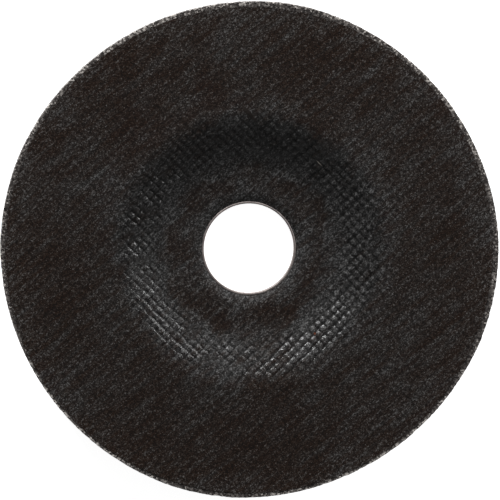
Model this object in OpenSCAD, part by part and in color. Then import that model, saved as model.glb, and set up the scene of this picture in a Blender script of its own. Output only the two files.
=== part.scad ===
// Cut-off wheel with a set-back hub: a thin, moulded abrasive disc with a
// pressed steel ring in its bore. The wheel lies on the back of its hub, and its
// hollow face, with the woven glass mesh showing on the slope, looks up.
// Millimetres. +Z is the spin axis, and z = 0 is the back of the hub.

/* [Wheel] */
// Outer diameter
wheel_d = 124; // [110:1:180]
// Thickness of the flat cutting zone
wheel_t = 2.5; // [1.6:0.1:3.2]
// How far the back of the hub stands out behind the back of the cutting zone
hub_setback = 4.6; // [3.6:0.1:5.4]
// Thickness of the hub
hub_t = 2.8; // [2.2:0.1:3.6]

/* [Slope between hub and cutting zone] */
// Diameter at which the flat of the hub ends
slope_in_d = 40.8; // [36:0.2:46]
// Diameter at which the flat of the cutting zone begins
slope_out_d = 71.2; // [64:0.2:78]
// Radius of the hollow bend at the foot of the slope, on the front
foot_bend_r = 12; // [4:0.5:16]
// Radius of the rounded shoulder at the top of the slope, on the front
shoulder_bend_r = 14; // [4:0.5:18]

/* [Rim] */
// Width of the bare abrasive rim outside the two skins
bare_rim_w = 1.4; // [0.4:0.1:2.5]
// How far the bare rim lies below each skin
bare_rim_step = 0.08; // [0.04:0.01:0.2]
// Directions of the four shallow flats on the outline, in degrees from +X
flat_angles = [40, 120, 215, 303]; // [0:1:360]
// Depths of the four flats
flat_depths = [0.46, 0.4, 0.46, 0.52]; // [0.2:0.02:1]
// Angle that each flat spans to either side of its middle
flat_span = 36; // [26:1:42]

/* [Steel ring in the bore] */
// Bore of the ring, which takes the grinder's flange
bore_d = 22.4; // [20:0.1:24]
// Thickness of the ring's sheet steel
ring_t = 0.5; // [0.3:0.05:0.8]
// Outer diameter of the ring's flange, pressed into the back of the hub
ring_flange_d = 30; // [28:0.5:34]
// Radius of the rounded edge where the flange turns into the bore
ring_edge_r = 0.8; // [0.3:0.1:1.2]
// How far the tube stands out of the front of the hub
ring_proud = 0.06; // [0.02:0.02:0.3]

/* [Woven glass mesh] */
// Distance between two threads of the mesh
mesh_pitch = 1.75; // [1.6:0.05:3]
// Height of a thread where two cross, above the gap between them
mesh_h = 0.4; // [0.1:0.02:0.6]
// Direction of the threads, in degrees from +X
mesh_angle = 45; // [0:5:90]
// How far the mesh keeps away from the flats at either end of the slope
mesh_margin = 0.8; // [0:0.1:2]

/* [Hidden] */

wheel_r = wheel_d / 2;
bore_r = bore_d / 2;
tube_r = bore_r + ring_t;
flange_r = ring_flange_d / 2;
slope_in_r = slope_in_d / 2;
slope_out_r = slope_out_d / 2;
rim_top = hub_setback + wheel_t;
front_rise = rim_top - hub_t;
back_foot_bend_r = foot_bend_r + hub_t;
back_shoulder_bend_r = shoulder_bend_r - wheel_t;

// How the glass mesh is built up: lift of its edge above the plain face, height
// of a thread midway between two crossings, and the width over which it fades in
mesh_lift = 0.05;
mesh_mid = 0.55;
mesh_fade = 4.2;

// Depth of the layer's walls, and the depth and the margin of the groove it fills
mesh_t = 0.9;
mesh_groove = 0.35;
mesh_overlap = 0.35;

half_pitch = mesh_pitch / 2;
band_in_r = slope_in_r + mesh_margin;
band_out_r = slope_out_r - mesh_margin;
band_edge_gap = half_pitch / 4;
groove_in_r = band_in_r + mesh_overlap;
groove_out_r = band_out_r - mesh_overlap;
grid_reach = ceil(band_out_r / half_pitch) + 1;
grid_side = 2 * grid_reach + 1;
keel_r = (band_in_r + band_out_r) / 2;
keel_steps = 36;

// Most of the slope's room that its two bends may fill, which leaves a straight
// stretch between them
bend_room = 0.96;
bend_steps = 10;
round_fn = 180;
edge_fn = 48;
cut = 1;

// Bends share the slope's run and rise, and shrink where they would not fit
function bend_share(rise, bends) =
    let (run = slope_out_r - slope_in_r)
    min(1, bend_room * (run * run + rise * rise) / (2 * rise * bends));

// Steepness of the straight stretch that touches both bends
function slope_angle(rise, bends) =
    let (run = slope_out_r - slope_in_r, left = bends - rise)
    asin(bends / norm([run, left])) - atan2(left, run);

// Height of a face that rises along the slope: flat, bend, straight, bend, flat
function face_z(r, low, rise, foot_r, shoulder_r) =
    let (share = bend_share(rise, foot_r + shoulder_r))
    let (foot = foot_r * share, shoulder = shoulder_r * share)
    let (angle = slope_angle(rise, foot + shoulder))
    let (foot_end = slope_in_r + foot * sin(angle))
    let (shoulder_start = slope_out_r - shoulder * sin(angle))
    r <= slope_in_r ? low :
    r <= foot_end ? low + foot - sqrt(foot * foot - pow(r - slope_in_r, 2)) :
    r <= shoulder_start ? low + foot * (1 - cos(angle)) + (r - foot_end) * tan(angle) :
    r <= slope_out_r ? low + rise - shoulder + sqrt(shoulder * shoulder - pow(slope_out_r - r, 2)) :
    low + rise;

function front_z(r) = face_z(r, hub_t, front_rise, foot_bend_r, shoulder_bend_r);
function back_z(r) = face_z(r, 0, hub_setback, back_foot_bend_r, back_shoulder_bend_r);

// Radii at which a face that rises along the slope gets its points
function slope_radii(rise, foot_r, shoulder_r) =
    let (share = bend_share(rise, foot_r + shoulder_r))
    let (foot = foot_r * share, shoulder = shoulder_r * share)
    let (angle = slope_angle(rise, foot + shoulder))
    concat(
        [for (i = [0:bend_steps]) slope_in_r + foot * sin(angle * i / bend_steps)],
        [for (i = [bend_steps:-1:0]) slope_out_r - shoulder * sin(angle * i / bend_steps)]
    );

front_radii = slope_radii(front_rise, foot_bend_r, shoulder_bend_r);
back_radii = slope_radii(hub_setback, back_foot_bend_r, back_shoulder_bend_r);

// Half section of the disc, from the ring's seat out to the bare rim. Its front
// face is lowered between the edges of the groove that the mesh fills.
function disc_section() =
    let (skin_r = wheel_r - bare_rim_w)
    let (inward_radii = [for (i = [len(front_radii) - 1:-1:0]) front_radii[i]])
    concat(
        [
            [tube_r, ring_t],
            [flange_r, ring_t],
            [flange_r, 0]
        ],
        [for (r = back_radii) [r, back_z(r)]],
        [
            [skin_r, hub_setback],
            [skin_r, hub_setback + bare_rim_step],
            [wheel_r, hub_setback + bare_rim_step],
            [wheel_r, rim_top - bare_rim_step],
            [skin_r, rim_top - bare_rim_step],
            [skin_r, rim_top]
        ],
        [for (r = inward_radii) if (r > groove_out_r) [r, front_z(r)]],
        [
            [groove_out_r, front_z(groove_out_r)],
            [groove_out_r, front_z(groove_out_r) - mesh_groove]
        ],
        [for (r = inward_radii) if (r < groove_out_r && r > groove_in_r) [r, front_z(r) - mesh_groove]],
        [
            [groove_in_r, front_z(groove_in_r) - mesh_groove],
            [groove_in_r, front_z(groove_in_r)]
        ],
        [for (r = inward_radii) if (r < groove_in_r) [r, front_z(r)]],
        [[tube_r, hub_t]]
    );

// All of the wheel inside one shallow flat: a wider circle, set off centre so
// that it takes the most off the rim in the flat's own direction
module inside_flat(angle, depth) {
    offset_r = depth / (1 - cos(flat_span) - depth / wheel_r);
    rotate([0, 0, angle])
        translate([-offset_r, 0, -cut])
            cylinder(h = rim_top + 2 * cut, r = wheel_r + offset_r - depth, $fn = round_fn);
}

// Points of the mesh lie on a square grid along the threads, two steps a pitch.
// Those outside the band are drawn in to its edge.
function grid_r(i, j) = half_pitch * norm([i, j]);
function in_band(i, j) =
    grid_r(i, j) > band_in_r + band_edge_gap && grid_r(i, j) < band_out_r - band_edge_gap;
function drawn_r(i, j) =
    in_band(i, j) ? grid_r(i, j) :
    grid_r(i, j) < keel_r ? band_in_r : band_out_r;

// Even, even is a crossing; odd, odd is a gap; the rest are midway along a thread
function weave(i, j) =
    i % 2 == 0 && j % 2 == 0 ? 1 :
    i % 2 != 0 && j % 2 != 0 ? 0 : mesh_mid;
function fade(r) = max(0, min(1, (r - groove_in_r) / mesh_fade, (groove_out_r - r) / mesh_fade));

function mesh_point(i, j, layer) =
    let (r = drawn_r(i, j))
    let (turn = atan2(j, i))
    let (top = front_z(r) + mesh_lift + mesh_h * (weave(i, j) - mesh_mid) * fade(r))
    [r * cos(turn), r * sin(turn), layer == 0 ? top : front_z(r) - mesh_t];
function keel_point(k) =
    let (turn = 360 * k / keel_steps)
    [keel_r * cos(turn), keel_r * sin(turn), (front_z(keel_r) + back_z(keel_r)) / 2];

// A cell of the grid is part of the mesh if any of its corners is inside the band
function in_mesh(i, j) =
    in_band(i, j) || in_band(i + 1, j) || in_band(i, j + 1) || in_band(i + 1, j + 1);

// Where a point stands in the list of points
function at(i, j, layer) =
    (i + grid_reach) * grid_side + j + grid_reach + layer * grid_side * grid_side;
function keel_at(p) =
    2 * grid_side * grid_side + (round(keel_steps * atan2(p[1], p[0]) / 360) + keel_steps) % keel_steps;

// Each cell is cut along the diagonal from a crossing to a gap
function cell_faces(i, j) =
    (i + j) % 2 == 0 ?
        [[at(i, j, 0), at(i + 1, j + 1, 0), at(i + 1, j, 0)],
         [at(i, j, 0), at(i, j + 1, 0), at(i + 1, j + 1, 0)]] :
        [[at(i, j, 0), at(i, j + 1, 0), at(i + 1, j, 0)],
         [at(i + 1, j, 0), at(i, j + 1, 0), at(i + 1, j + 1, 0)]];

// From an edge of the mesh, a wall goes straight down and a facet runs on to the keel
function edge_faces(p, q) =
    let (top_p = at(p[0], p[1], 0), top_q = at(q[0], q[1], 0))
    let (low_p = at(p[0], p[1], 1), low_q = at(q[0], q[1], 1))
    let (keel_p = keel_at(p), keel_q = keel_at(q))
    concat(
        [[top_p, top_q, low_q, low_p], [low_p, low_q, keel_q]],
        keel_p == keel_q ? [] : [[low_p, keel_q, keel_p]]
    );

// The four sides of a cell, each with the cell that lies beyond it
function cell_sides(i, j) = [
    [[i, j], [i + 1, j], [i, j - 1]],
    [[i + 1, j], [i + 1, j + 1], [i + 1, j]],
    [[i + 1, j + 1], [i, j + 1], [i, j + 1]],
    [[i, j + 1], [i, j], [i - 1, j]]
];

// Woven glass mesh on the slope, as one closed layer
module glass_mesh() {
    span = [-grid_reach:grid_reach];
    cells = [for (i = [-grid_reach:grid_reach - 1]) for (j = [-grid_reach:grid_reach - 1])
        if (in_mesh(i, j)) [i, j]];
    points = concat(
        [for (layer = [0, 1]) for (i = span) for (j = span) mesh_point(i, j, layer)],
        [for (k = [0:keel_steps - 1]) keel_point(k)]
    );
    top = [for (c = cells) each cell_faces(c[0], c[1])];
    edges = [for (c = cells) for (side = cell_sides(c[0], c[1]))
        if (!in_mesh(side[2][0], side[2][1])) each edge_faces(side[0], side[1])];
    rotate([0, 0, mesh_angle])
        polyhedron(points = points, faces = concat(top, edges));
}

// Resin-bonded grain, pressed with its glass mesh into one dished disc
module abrasive_disc() {
    color([0.16, 0.14, 0.13]) {
        intersection() {
            rotate_extrude($fn = round_fn)
                polygon(disc_section());
            intersection_for(i = [0:len(flat_angles) - 1])
                inside_flat(flat_angles[i], flat_depths[i]);
        }
        glass_mesh();
    }
}

// Sheet steel ring: a tube that lines the bore, and a flange in the hub's back
module bore_ring() {
    color([0.45, 0.43, 0.42])
        rotate_extrude($fn = round_fn)
            difference() {
                union() {
                    translate([bore_r, 0])
                        square([flange_r - bore_r, ring_t]);
                    translate([bore_r, 0])
                        square([ring_t, hub_t + ring_proud]);
                }
                difference() {
                    translate([bore_r - cut, -cut])
                        square([ring_edge_r + cut, ring_edge_r + cut]);
                    translate([bore_r + ring_edge_r, ring_edge_r])
                        circle(r = ring_edge_r, $fn = edge_fn);
                }
            }
}

abrasive_disc();
bore_ring();
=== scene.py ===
from math import asin, atan2, cos, hypot, pi, radians, sin, sqrt, tan

import bpy
from mathutils import Matrix, Vector, noise


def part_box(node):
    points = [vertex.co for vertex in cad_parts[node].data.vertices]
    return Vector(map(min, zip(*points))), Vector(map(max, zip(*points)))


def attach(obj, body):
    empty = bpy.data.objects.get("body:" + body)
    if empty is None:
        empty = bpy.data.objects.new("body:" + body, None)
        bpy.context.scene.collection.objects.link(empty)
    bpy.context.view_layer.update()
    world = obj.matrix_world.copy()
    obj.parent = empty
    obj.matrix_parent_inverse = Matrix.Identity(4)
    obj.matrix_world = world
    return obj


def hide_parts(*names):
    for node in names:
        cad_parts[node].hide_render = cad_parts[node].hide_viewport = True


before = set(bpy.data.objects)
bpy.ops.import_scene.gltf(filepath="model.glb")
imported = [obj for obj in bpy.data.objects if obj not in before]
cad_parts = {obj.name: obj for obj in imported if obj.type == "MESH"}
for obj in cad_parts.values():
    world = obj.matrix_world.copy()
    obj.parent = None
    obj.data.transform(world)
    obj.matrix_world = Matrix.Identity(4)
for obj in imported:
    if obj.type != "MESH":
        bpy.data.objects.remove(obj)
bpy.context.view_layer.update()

# Overhead camera: it looks down on the hollow face of the wheel, a few degrees off the spin
# axis, because the bore, deep in the hub, shows a little up and left of the outline's middle.
mm = 0.001
disc_low, disc_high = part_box("abrasive_disc")
wheel_r = disc_high[0] / mm
rim_top = 7.1
view_distance = 2600
view_tilt = radians(6.7)
view_azimuth = radians(123)
frame_px = 500
wheel_px = 499.8
aim = Vector((0.01, 0.03, rim_top)) * mm
away = Vector((sin(view_tilt) * cos(view_azimuth), sin(view_tilt) * sin(view_azimuth), cos(view_tilt)))
camera_right = Vector((0, 1, 0)).cross(away).normalized()
camera_up = away.cross(camera_right)
camera_data = bpy.data.cameras.new("overhead_camera")
camera = bpy.data.objects.new("overhead_camera", camera_data)
bpy.context.collection.objects.link(camera)
camera.location = aim + away * view_distance * mm
camera.rotation_euler = Matrix((camera_right, camera_up, away)).transposed().to_euler()
camera_data.sensor_width = 36
camera_data.lens = 36 * view_distance / (2 * wheel_r * frame_px / wheel_px)
camera_data.clip_start = 0.01
camera_data.clip_end = 20
bpy.context.scene.camera = camera
bpy.context.scene.view_settings.view_transform = "Standard"

# Abrasive disc: corundum grain in phenolic resin, laid with woven glass mesh between two black
# fleece skins and pressed hot into one dished disc. The press leaves the mesh standing out on
# the slope, and the rim is trimmed, which bares the grain. One half section is drawn and spun.
hub_t = 2.8
hub_setback = 4.6
wheel_t = rim_top - hub_setback
tube_r = 11.7
flange_r = 15.0
ring_t = 0.5
slope_in_r = 20.4
slope_out_r = 35.6
foot_bend_r = 12.0
shoulder_bend_r = 14.0
bare_rim_w = 1.4
bare_rim_step = 0.08
edge_round = 0.06
mesh_in_r = 21.2
mesh_out_r = 34.8
mesh_lift = 0.05
spin_steps = 720


def face_height(r, low, rise, foot, shoulder):
    """Height of a face that rises along the slope: flat, bend, straight, bend, flat."""
    run = slope_out_r - slope_in_r
    left = foot + shoulder - rise
    angle = asin((foot + shoulder) / hypot(run, left)) - atan2(left, run)
    foot_end = slope_in_r + foot * sin(angle)
    shoulder_start = slope_out_r - shoulder * sin(angle)
    if r <= slope_in_r:
        return low
    if r <= foot_end:
        return low + foot - sqrt(foot ** 2 - (r - slope_in_r) ** 2)
    if r <= shoulder_start:
        return low + foot * (1 - cos(angle)) + (r - foot_end) * tan(angle)
    if r <= slope_out_r:
        return low + rise - shoulder + sqrt(shoulder ** 2 - (slope_out_r - r) ** 2)
    return low + rise


def front_height(r):
    return face_height(r, hub_t, rim_top - hub_t, foot_bend_r, shoulder_bend_r)


def back_height(r):
    return face_height(r, 0, hub_setback, foot_bend_r + hub_t, shoulder_bend_r - wheel_t)


def spread(start, end, count):
    """Values from start to end, both included."""
    return [start + (end - start) * i / (count - 1) for i in range(count)]


skin_r = wheel_r - bare_rim_w
plain_r = 52.0
back_points = [(r, back_height(r)) for r in (slope_in_r, *spread(mesh_in_r, mesh_out_r, 38), slope_out_r)]
front_points = [(r, front_height(r)) for r in (slope_out_r, *spread(mesh_out_r, mesh_in_r, 54), slope_in_r)]
rim_low = hub_setback + bare_rim_step
rim_high = rim_top - bare_rim_step
section = [
    (tube_r, ring_t), (flange_r, ring_t), (flange_r, edge_round), (flange_r + edge_round, 0), (18, 0),
    *back_points,
    (42, hub_setback), (52, hub_setback), (58, hub_setback),
    (skin_r - 0.4, hub_setback), (skin_r, hub_setback), (skin_r + 0.04, rim_low), (wheel_r - 0.2, rim_low),
    (wheel_r - edge_round, rim_low),
    *[(wheel_r, z) for z in spread(rim_low + edge_round, rim_high - edge_round, 7)],
    (wheel_r - edge_round, rim_high),
    (wheel_r - 0.2, rim_high), (skin_r + 0.04, rim_high), (skin_r, rim_top), (skin_r - 0.4, rim_top),
    (58, rim_top), (52, rim_top), (42, rim_top),
    *front_points,
    (18, hub_t), (15, hub_t), (tube_r + edge_round, hub_t), (tube_r, hub_t - edge_round),
]
bpy.ops.object.select_all(action="DESELECT")
bpy.ops.mesh.primitive_circle_add(vertices=len(section), radius=mm)
disc = bpy.context.object
disc.name = "disc_with_skins"
for vertex, (r, z) in zip(disc.data.vertices, section):
    vertex.co = (r * mm, 0, z * mm)
bpy.ops.object.mode_set(mode="EDIT")
bpy.ops.mesh.select_all(action="SELECT")
bpy.ops.mesh.spin(steps=spin_steps, angle=2 * pi, use_auto_merge=True, center=(0, 0, 0), axis=(0, 0, 1))
bpy.ops.mesh.select_all(action="SELECT")
bpy.ops.mesh.remove_doubles(threshold=0.001 * mm)
bpy.ops.mesh.normals_make_consistent(inside=False)
bpy.ops.object.mode_set(mode="OBJECT")

# The four shallow flats of the outline, the skin's edge a little off centre, and the grain that
# stands out of the trimmed rim, paler towards the edge and where the rim was trimmed deepest.
flats = [(40, 0.46), (120, 0.4), (215, 0.46), (303, 0.52)]
flat_span = radians(36)
skin_shift = 0.2
skin_shift_angle = radians(220)
grain_mm = 0.5
grain_depth = 0.12
chip_mm = 1.6
chip_depth = 0.1
edge_paleness = 0.35


def trimmed_off(turn):
    """How much each flat takes off the radius in one direction, in mm: the most of the four."""
    most = 0
    for angle, depth in flats:
        off_centre = depth / (1 - cos(flat_span) - depth / wheel_r)
        around = turn - radians(angle)
        flat_r = wheel_r + off_centre - depth
        reach = sqrt(flat_r ** 2 - (off_centre * sin(around)) ** 2) - off_centre * cos(around)
        most = max(most, wheel_r - reach)
    return most


# The woven mesh: threads a pitch apart both ways, each passing over and under the others. It
# was flat before it was pressed, so its pitch is kept along the face and closes up seen from above.
mesh_pitches = (1.78, 1.99)
mesh_h = 0.2
mesh_fade = 4.2
thread_ways = (radians(46), radians(136))
wander = 0.24
run_step = 0.1
face_run = [0]
for step in range(int(wheel_r / run_step)):
    rise = front_height((step + 1) * run_step) - front_height(step * run_step)
    face_run.append(face_run[-1] + hypot(run_step, rise))


def weave_height(x, y):
    """Height of the woven mesh at a place on the wheel: 0 in a gap, 1 where a thread passes over."""
    r = hypot(x, y)
    unrolled = face_run[round(r / run_step)] / r
    along, across = (
        unrolled * (x * cos(way) + y * sin(way)) / pitch for way, pitch in zip(thread_ways, mesh_pitches)
    )
    slow_drift = noise.noise_vector(Vector((x / 7, y / 7, 3.1)))
    drift = slow_drift + 0.5 * noise.noise_vector(Vector((x / 2, y / 2, 8.7)))
    u = along + wander * drift.x
    v = across + wander * drift.y
    from_v_thread = 2 * abs(u - round(u))
    from_u_thread = 2 * abs(v - round(v))
    over = cos(pi * u) * cos(pi * v)
    u_thread = (1 - from_u_thread ** 3.5) * (1 - 0.95 * from_v_thread ** 3) * (0.85 + 0.15 * over)
    v_thread = (1 - from_v_thread ** 3) * (1 - 0.95 * from_u_thread ** 3) * (0.88 - 0.12 * over)
    return max(u_thread, v_thread)


weave_tint = []
band_tint = []
bare_tint = []
fresh_tint = []
new_places = []
for vertex in disc.data.vertices:
    place = vertex.co / mm
    r = hypot(place.x, place.y)
    turn = atan2(place.y, place.x)
    cut_off = trimmed_off(turn)
    woven = 0.6
    fade = 0
    fresh = cut_off / 1.6
    bare = max(0, min(1, (r - skin_r) / 0.04))
    if mesh_in_r < r < mesh_out_r:
        fade = max(0, min(1, (r - mesh_in_r) / mesh_fade, (mesh_out_r - r) / mesh_fade))
        patch = 1 + 1.5 * noise.noise(place / 4 + Vector((0, 0, 20))) + 0.9 * noise.noise(place / 1.1)
        patch = max(0.3, min(1.7, patch))
        woven = 0.6 + (weave_height(place.x, place.y) - 0.6) * fade * patch
        place += vertex.normal * (mesh_lift + mesh_h * (woven - 0.6))
        place.z = max(place.z, 0)
    if r > plain_r:
        skin_edge = skin_r + skin_shift * cos(turn - skin_shift_angle)
        if r <= skin_r:
            r_new = plain_r + (r - plain_r) * (skin_edge - plain_r) / (skin_r - plain_r)
        else:
            share = (r - skin_r) / bare_rim_w
            fresh += edge_paleness * share
            chip = chip_depth * max(0, 2 * noise.noise(place / chip_mm))
            rough = chip + grain_depth * (0.5 + noise.noise(place / grain_mm))
            r_new = skin_edge + share * (wheel_r - cut_off - skin_edge) - max(0, rough) * bare
        place.x *= r_new / r
        place.y *= r_new / r
    new_places.append(place * mm)
    weave_tint.append(woven)
    band_tint.append(fade)
    bare_tint.append(bare)
    fresh_tint.append(fresh)
for vertex, place in zip(disc.data.vertices, new_places):
    vertex.co = place
for name, values in (("weave", weave_tint), ("band", band_tint), ("bare", bare_tint), ("fresh", fresh_tint)):
    layer = disc.data.attributes.new(name, "FLOAT", "POINT")
    layer.data.foreach_set("value", values)
bpy.ops.object.shade_smooth_by_angle(angle=radians(50))


def hex_linear(code, alpha=1.0):
    """An sRGB hex colour as linear values."""
    parts = [int(code[i:i + 2], 16) / 255 for i in (1, 3, 5)]
    return (*[c / 12.92 if c <= 0.04045 else ((c + 0.055) / 1.055) ** 2.4 for c in parts], alpha)


def add_node(tree, kind, links=None, **settings):
    """A node with its settings, and its inputs linked to sockets or set to values."""
    node = tree.nodes.new(kind)
    for name, value in settings.items():
        setattr(node, name, value)
    for name, value in (links or {}).items():
        if isinstance(value, bpy.types.NodeSocket):
            tree.links.new(value, node.inputs[name])
        else:
            node.inputs[name].default_value = value
    return node


# Black fleece in phenolic resin over bonded grain: matt, brown-black, with blue-grey fibres that
# lie mostly one way and thicken to faint clouds. The real fibres are finer than the render shows,
# so they are drawn about 0.4 mm wide. The skin colour is painted darker in the gaps of the mesh
# and a little paler on its threads: painted shade standing in for the shade that falls in the gaps.
skin = bpy.data.materials.new("fleece_skin_and_bonded_grain")
skin.use_nodes = True
tree = skin.node_tree
shader = tree.nodes["Principled BSDF"]
place = add_node(tree, "ShaderNodeTexCoord").outputs["Object"]
in_mm = add_node(tree, "ShaderNodeVectorMath", {0: place, "Scale": 1 / mm}, operation="SCALE").outputs["Vector"]
fibre_w = 0.42
streaks = None
for direction, length, start, seed in (
    (45, 1.2, 0.51, 0), (68, 0.9, 0.53, 11), (18, 0.9, 0.53, 23), (-38, 0.8, 0.56, 37)
):
    turned = add_node(
        tree, "ShaderNodeVectorRotate", {"Vector": in_mm, "Center": (seed, seed, seed), "Angle": -radians(direction)}
    ).outputs["Vector"]
    stretched = add_node(
        tree, "ShaderNodeVectorMath", {0: turned, 1: (1 / length, 1 / fibre_w, 1 / fibre_w)}, operation="MULTIPLY"
    ).outputs["Vector"]
    thread = add_node(
        tree, "ShaderNodeTexNoise", {"Vector": stretched, "Scale": 1.0, "Detail": 1.0, "Roughness": 0.7}
    ).outputs["Fac"]
    streak = add_node(
        tree, "ShaderNodeMapRange", {"Value": thread, "From Min": start, "From Max": start + 0.24}
    ).outputs["Result"]
    if streaks is None:
        streaks = streak
    else:
        streaks = add_node(tree, "ShaderNodeMath", {0: streaks, 1: streak}, operation="MAXIMUM").outputs["Value"]
turned = add_node(tree, "ShaderNodeVectorRotate", {"Vector": in_mm, "Angle": -radians(38)}).outputs["Vector"]
band = add_node(tree, "ShaderNodeAttribute", attribute_name="band").outputs["Fac"]
cloud_level = add_node(tree, "ShaderNodeMath", {0: band, 1: 0.1}, operation="MULTIPLY").outputs["Value"]
for length, width, weight in ((22, 14, 0.7), (14, 0.9, 0.65), (6, 2.2, 0.7)):
    stretched = add_node(
        tree, "ShaderNodeVectorMath", {0: turned, 1: (1 / length, 1 / width, 1 / width)}, operation="MULTIPLY"
    ).outputs["Vector"]
    cloud = add_node(
        tree, "ShaderNodeTexNoise", {"Vector": stretched, "Scale": 1.0, "Detail": 2.0, "Roughness": 0.6}
    ).outputs["Fac"]
    lighter = add_node(
        tree, "ShaderNodeMapRange", {"Value": cloud, "From Min": 0.35, "From Max": 0.65, "To Max": weight / 2}
    ).outputs["Result"]
    cloud_level = add_node(tree, "ShaderNodeMath", {0: cloud_level, 1: lighter}, operation="ADD").outputs["Value"]
specks = add_node(
    tree, "ShaderNodeTexNoise", {"Vector": in_mm, "Scale": 1 / 0.38, "Detail": 1.0, "Roughness": 0.9}
).outputs["Fac"]
speck_level = add_node(
    tree, "ShaderNodeMapRange", {"Value": specks, "From Min": 0.35, "From Max": 0.65, "To Min": -0.3, "To Max": 0.3}
).outputs["Result"]
# Painted glints: the few highest specks are painted paler, as small highlights.
painted_glint_level = add_node(
    tree, "ShaderNodeMapRange", {"Value": specks, "From Min": 0.67, "From Max": 0.77, "To Max": 0.45}
).outputs["Result"]
speck_level = add_node(tree, "ShaderNodeMath", {0: speck_level, 1: painted_glint_level}, operation="ADD").outputs["Value"]
out_r = add_node(tree, "ShaderNodeVectorMath", {0: in_mm}, operation="LENGTH").outputs["Value"]
uneven = add_node(tree, "ShaderNodeTexNoise", {"Vector": in_mm, "Scale": 1 / 6, "Detail": 2.0}).outputs["Fac"]
shifted = add_node(
    tree, "ShaderNodeMapRange", {"Value": uneven, "From Min": 0.3, "From Max": 0.7, "To Min": -2.6, "To Max": 2.6}
).outputs["Result"]
out_r = add_node(tree, "ShaderNodeMath", {0: out_r, 1: shifted}, operation="ADD").outputs["Value"]
# Steps in how pale the skin is, each ramping from the first radius to the second and staying on beyond it: the skin is
# rubbed paler from 44 mm inwards over the slope, and it is paler from 18.3 mm in towards the bore and from 52 mm out
# towards the rim. The steps at 27 to 23 and 22 to 19.5 together make a paler ring over the foot of the slope. That
# ring is painted light, standing in for the light that a softer bend there would catch.
for start_r, end_r, amount in ((44, 36, 0.15), (27, 23, 0.27), (22, 19.5, -0.34), (18.3, 11.7, 0.5), (52, 61, 0.3)):
    if end_r > start_r:
        greyed = add_node(
            tree, "ShaderNodeMath", {0: band, 1: 0.35, 2: cloud_level}, operation="MULTIPLY_ADD"
        ).outputs["Value"]
    paleness_and_painted_light = add_node(
        tree, "ShaderNodeMapRange", {"Value": out_r, "From Min": start_r, "From Max": end_r, "To Max": amount}
    ).outputs["Result"]
    cloud_level = add_node(tree, "ShaderNodeMath", {0: cloud_level, 1: paleness_and_painted_light}, operation="ADD").outputs["Value"]
streak_level = add_node(
    tree, "ShaderNodeMapRange", {"Value": cloud_level, "To Min": 0.32, "To Max": 0.9, "From Max": 1.2}
).outputs["Result"]
mist = add_node(
    tree, "ShaderNodeMath", {0: cloud_level, 1: 0.25, 2: speck_level}, operation="MULTIPLY_ADD"
).outputs["Value"]
drift = add_node(tree, "ShaderNodeTexNoise", {"Vector": in_mm, "Scale": 1 / 5, "Detail": 1.0}).outputs["Color"]
wandered = add_node(
    tree, "ShaderNodeVectorMath", {0: drift, 1: (0.9, 0.9, 0.9), 2: in_mm}, operation="MULTIPLY_ADD"
).outputs["Vector"]
for normal_way, pitch, amount in ((136, 1.99, 0.054), (46, 1.78, 0.036), (87, 1.78, 0.022), (177, 1.78, 0.018)):
    across = (2 * pi / pitch * cos(radians(normal_way)), 2 * pi / pitch * sin(radians(normal_way)), 0)
    phase = add_node(tree, "ShaderNodeVectorMath", {0: wandered, 1: across}, operation="DOT_PRODUCT").outputs["Value"]
    ripple = add_node(tree, "ShaderNodeMath", {0: phase}, operation="SINE").outputs["Value"]
    mist = add_node(
        tree, "ShaderNodeMath", {0: ripple, 1: amount, 2: mist}, operation="MULTIPLY_ADD"
    ).outputs["Value"]
fibre_level = add_node(
    tree, "ShaderNodeMath", {0: streaks, 1: streak_level, 2: mist}, operation="MULTIPLY_ADD"
).outputs["Value"]
calm = add_node(tree, "ShaderNodeMapRange", {"Value": band, "To Min": 1.0, "To Max": 0.95}).outputs["Result"]
calm_level = add_node(tree, "ShaderNodeMath", {0: band, 1: 0.07}, operation="MULTIPLY").outputs["Value"]
fibre_level = add_node(
    tree, "ShaderNodeMath", {0: fibre_level, 1: calm, 2: calm_level}, operation="MULTIPLY_ADD"
).outputs["Value"]
skin_ramp = add_node(tree, "ShaderNodeValToRGB", {"Fac": fibre_level})
skin_ramp.color_ramp.elements[0].color = hex_linear("#080301")
skin_ramp.color_ramp.elements[1].color = hex_linear("#4f4d4c")
skin_ramp.color_ramp.elements.new(0.32).color = hex_linear("#1c120d")
skin_ramp.color_ramp.elements.new(0.62).color = hex_linear("#2b2521")
weave = add_node(tree, "ShaderNodeAttribute", attribute_name="weave").outputs["Fac"]
# Painted shade: the skin colour is darkened in the gaps of the mesh and made a little paler on its threads.
painted_gap_shade = add_node(
    tree, "ShaderNodeMapRange", {"Value": weave, "From Min": 0.1, "From Max": 0.85, "To Min": 0.44, "To Max": 1.2}
).outputs["Result"]
tint = add_node(
    tree, "ShaderNodeMapRange", {"Value": greyed, "From Min": 0.25, "From Max": 1.1, "To Min": 1.35, "To Max": 0.1}
).outputs["Result"]
tinted = add_node(tree, "ShaderNodeHueSaturation", {"Saturation": tint, "Color": skin_ramp.outputs["Color"]})
skin_colour = add_node(
    tree, "ShaderNodeVectorMath", {0: tinted.outputs["Color"], "Scale": painted_gap_shade}, operation="SCALE"
).outputs["Vector"]
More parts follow.
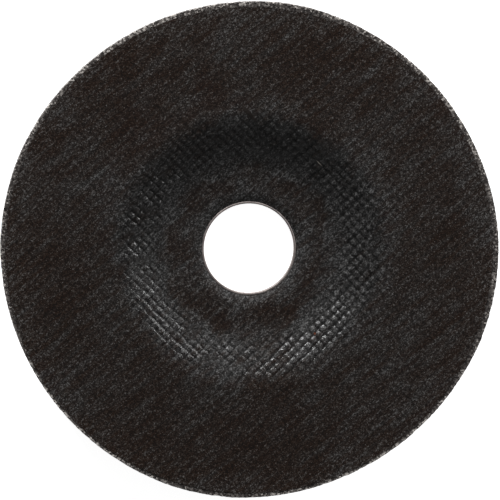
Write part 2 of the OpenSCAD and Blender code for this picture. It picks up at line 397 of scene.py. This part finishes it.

# Three marks on the slope: a rust-brown grain, a short pale scratch, and a dark line near the top of
# the slope where the skin is creased, which is painted shade in the crease. Each is a soft-edged spot in
# the object's own space, the scratch drawn out eight times along its line and the crease four and a half.
for mark_x, mark_y, direction, half_w, draw_out, mark_colour in (
    (16.3, -21.2, 0, 0.34, 1, "#4e2818"), (17.4, 21.3, -46, 0.16, 8, "#8c8780"), (-0.25, 34, -48, 0.75, 4.5, "#1a1512")
):
    mark_at = (mark_x, mark_y, front_height(hypot(mark_x, mark_y)))
    turned = add_node(
        tree, "ShaderNodeVectorRotate", {"Vector": in_mm, "Center": mark_at, "Angle": -radians(direction)}
    ).outputs["Vector"]
    off_mark = add_node(tree, "ShaderNodeVectorMath", {0: turned, 1: mark_at}, operation="SUBTRACT").outputs["Vector"]
    drawn = add_node(
        tree, "ShaderNodeVectorMath", {0: off_mark, 1: (1 / draw_out, 1, 1 / draw_out)}, operation="MULTIPLY"
    ).outputs["Vector"]
    spread_out = add_node(tree, "ShaderNodeVectorMath", {0: drawn}, operation="LENGTH").outputs["Value"]
    marked = add_node(
        tree, "ShaderNodeMapRange", {"Value": spread_out, "From Min": half_w, "From Max": half_w / 2}
    ).outputs["Result"]
    mixed = add_node(
        tree, "ShaderNodeMix", {"Factor": marked, "A": skin_colour, "B": hex_linear(mark_colour)}, data_type="RGBA"
    )
    skin_colour = next(s for s in mixed.outputs if s.type == "RGBA")

# The bare rim: grains about half a millimetre across in dark resin, in random greys. The palest are
# painted pale as glints that catch the light, and there are more of those where the rim was trimmed deepest.
bare = add_node(tree, "ShaderNodeAttribute", attribute_name="bare").outputs["Fac"]
fresh = add_node(tree, "ShaderNodeAttribute", attribute_name="fresh").outputs["Fac"]
grains = add_node(tree, "ShaderNodeTexVoronoi", {"Vector": in_mm, "Scale": 1 / 0.42, "Randomness": 1.0})
grain_pick = add_node(tree, "ShaderNodeSeparateColor", {"Color": grains.outputs["Color"]}).outputs["Red"]
grain_level = add_node(
    tree, "ShaderNodeMath", {0: grain_pick, 1: add_node(
        tree, "ShaderNodeMapRange", {"Value": fresh, "To Min": -0.2, "To Max": 0.4}
    ).outputs["Result"]}, operation="ADD"
).outputs["Value"]
grain_and_glint_ramp = add_node(tree, "ShaderNodeValToRGB", {"Fac": grain_level})
grain_and_glint_ramp.color_ramp.elements[0].color = hex_linear("#1c1918")
grain_and_glint_ramp.color_ramp.elements[1].color = hex_linear("#a39e99")
grain_and_glint_ramp.color_ramp.elements.new(0.45).color = hex_linear("#383432")
grain_and_glint_ramp.color_ramp.elements.new(0.8).color = hex_linear("#605c59")
colour = add_node(
    tree, "ShaderNodeMix", {"Factor": bare, "A": skin_colour, "B": grain_and_glint_ramp.outputs["Color"]}, data_type="RGBA"
)
colour = next(s for s in colour.outputs if s.type == "RGBA")
tree.links.new(colour, shader.inputs["Base Color"])
bump = add_node(
    tree, "ShaderNodeBump", {"Height": fibre_level, "Strength": 0.5, "Distance": 0.06 * mm}
).outputs["Normal"]
tree.links.new(bump, shader.inputs["Normal"])
skin_rough = add_node(tree, "ShaderNodeMapRange", {"Value": band, "To Min": 0.5, "To Max": 0.31}).outputs["Result"]
beads = add_node(
    tree, "ShaderNodeMapRange", {"Value": specks, "From Min": 0.47, "From Max": 0.62, "To Max": -0.18}
).outputs["Result"]
bead_rough = add_node(tree, "ShaderNodeMath", {0: beads, 1: band, 2: skin_rough}, operation="MULTIPLY_ADD")
tree.links.new(bead_rough.outputs["Value"], shader.inputs["Roughness"])
shader.inputs["Specular IOR Level"].default_value = 0.22
disc.data.materials.clear()
disc.data.materials.append(skin)
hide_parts("abrasive_disc")
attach(disc, "root")

# Bore ring: thin sheet steel, pressed to a short tube with a flat flange and moulded into the
# hub. Only its cut edge shows from the front. The half section is drawn and spun as well.
bore_r = 11.2
ring_edge_r = 0.8
ring_proud = 0.06
lip_round = 0.12
ring_top = hub_t + ring_proud
ring_section = [
    *[(bore_r + ring_edge_r - ring_edge_r * cos(a), ring_edge_r - ring_edge_r * sin(a))
      for a in spread(0, pi / 2, 9)],
    (flange_r - lip_round, 0), (flange_r, lip_round), (flange_r, ring_t), (tube_r, ring_t),
    (tube_r, ring_top - lip_round),
    *[(tube_r - lip_round + lip_round * cos(a), ring_top - lip_round + lip_round * sin(a))
      for a in spread(pi / 8, pi / 2, 4)],
    *[(bore_r + lip_round - lip_round * sin(a), ring_top - lip_round + lip_round * cos(a))
      for a in spread(0, pi / 2, 5)],
]
bpy.ops.object.select_all(action="DESELECT")
bpy.ops.mesh.primitive_circle_add(vertices=len(ring_section), radius=mm)
ring = bpy.context.object
ring.name = "pressed_bore_ring"
for vertex, (r, z) in zip(ring.data.vertices, ring_section):
    vertex.co = (r * mm, 0, z * mm)
bpy.ops.object.mode_set(mode="EDIT")
bpy.ops.mesh.select_all(action="SELECT")
bpy.ops.mesh.spin(steps=180, angle=2 * pi, use_auto_merge=True, center=(0, 0, 0), axis=(0, 0, 1))
bpy.ops.mesh.select_all(action="SELECT")
bpy.ops.mesh.remove_doubles(threshold=0.001 * mm)
bpy.ops.mesh.normals_make_consistent(inside=False)
bpy.ops.object.mode_set(mode="OBJECT")
bpy.ops.object.shade_smooth_by_angle(angle=radians(40))

# Dull pressed steel: a grey with a little warmth, blurred reflections and faint handling marks.
steel = bpy.data.materials.new("pressed_sheet_steel")
steel.use_nodes = True
tree = steel.node_tree
shader = tree.nodes["Principled BSDF"]
place = add_node(tree, "ShaderNodeTexCoord").outputs["Object"]
marks = add_node(
    tree, "ShaderNodeTexNoise", {"Vector": place, "Scale": 900.0, "Detail": 3.0, "Roughness": 0.6}
).outputs["Fac"]
steel_ramp = add_node(tree, "ShaderNodeValToRGB", {"Fac": marks})
steel_ramp.color_ramp.elements[0].position = 0.3
steel_ramp.color_ramp.elements[0].color = hex_linear("#736c6a")
steel_ramp.color_ramp.elements[1].position = 0.7
steel_ramp.color_ramp.elements[1].color = hex_linear("#99918e")
tree.links.new(steel_ramp.outputs["Color"], shader.inputs["Base Color"])
steel_rough = add_node(
    tree, "ShaderNodeMapRange", {"Value": marks, "To Min": 0.5, "To Max": 0.75}
).outputs["Result"]
tree.links.new(steel_rough, shader.inputs["Roughness"])
shader.inputs["Metallic"].default_value = 1.0
ring.data.materials.clear()
ring.data.materials.append(steel)
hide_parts("bore_ring")
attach(ring, "root")

# White studio sweep: a wide floor whose edge rises all round, so that low views stay pale.
sweep_r = 4.2
sweep_rise = 0.5
bpy.ops.object.select_all(action="DESELECT")
bpy.ops.mesh.primitive_circle_add(vertices=96, radius=sweep_r, fill_type="NGON")
sweep = bpy.context.object
sweep.name = "studio_sweep"
bpy.ops.object.mode_set(mode="EDIT")
bpy.ops.mesh.select_all(action="SELECT")
bpy.ops.mesh.inset(thickness=0.3)
bpy.ops.mesh.select_all(action="INVERT")
bpy.ops.object.mode_set(mode="OBJECT")
for vertex in sweep.data.vertices:
    if hypot(vertex.co.x, vertex.co.y) > sweep_r - 0.1:
        vertex.co.z = sweep_rise
paper = bpy.data.materials.new("white_paper_sweep")
paper.use_nodes = True
tree = paper.node_tree
shader = tree.nodes["Principled BSDF"]
shader.inputs["Base Color"].default_value = hex_linear("#e6e6e6")
shader.inputs["Roughness"].default_value = 0.9
path = add_node(tree, "ShaderNodeLightPath")
seen = add_node(
    tree, "ShaderNodeMath", {0: path.outputs["Is Camera Ray"], 1: path.outputs["Is Glossy Ray"]}, operation="MAXIMUM"
).outputs["Value"]
seen = add_node(
    tree, "ShaderNodeMath", {0: seen, 1: path.outputs["Is Transmission Ray"]}, operation="MAXIMUM"
).outputs["Value"]
glow = add_node(
    tree, "ShaderNodeMath", {0: seen, 1: 0.88}, operation="MULTIPLY"
).outputs["Value"]
shader.inputs["Emission Color"].default_value = (1, 1, 1, 1)
tree.links.new(glow, shader.inputs["Emission Strength"])
sweep.data.materials.append(paper)

# Studio light: an arc of soft lamps low behind the top of the picture, which rakes across the
# slope, a weak lamp opposite it, and an even pale room.


def soft_lamp(name, azimuth, elevation, distance, size, power):
    data = bpy.data.lights.new(name, "AREA")
    data.shape = "DISK"
    data.size = size
    data.energy = power
    lamp = bpy.data.objects.new(name, data)
    bpy.context.collection.objects.link(lamp)
    way = Vector((cos(elevation) * cos(azimuth), cos(elevation) * sin(azimuth), sin(elevation)))
    lamp.location = way * distance
    lamp.rotation_euler = way.to_track_quat("Z", "Y").to_euler()


for count, power in enumerate((8.0, 5.4, 5.5, 6.3, 24.5)):
    soft_lamp(f"arc_softbox_{count + 1}", radians(14 + 26.4 * count), radians(15), 1.2, 0.3, power)
soft_lamp("fill_softbox", radians(260), radians(50), 1.4, 0.8, 0.9)
world = bpy.data.worlds.new("pale_room")
bpy.context.scene.world = world
world.use_nodes = True
world.node_tree.nodes["Background"].inputs["Color"].default_value = (1, 1, 1, 1)
world.node_tree.nodes["Background"].inputs["Strength"].default_value = 0.135
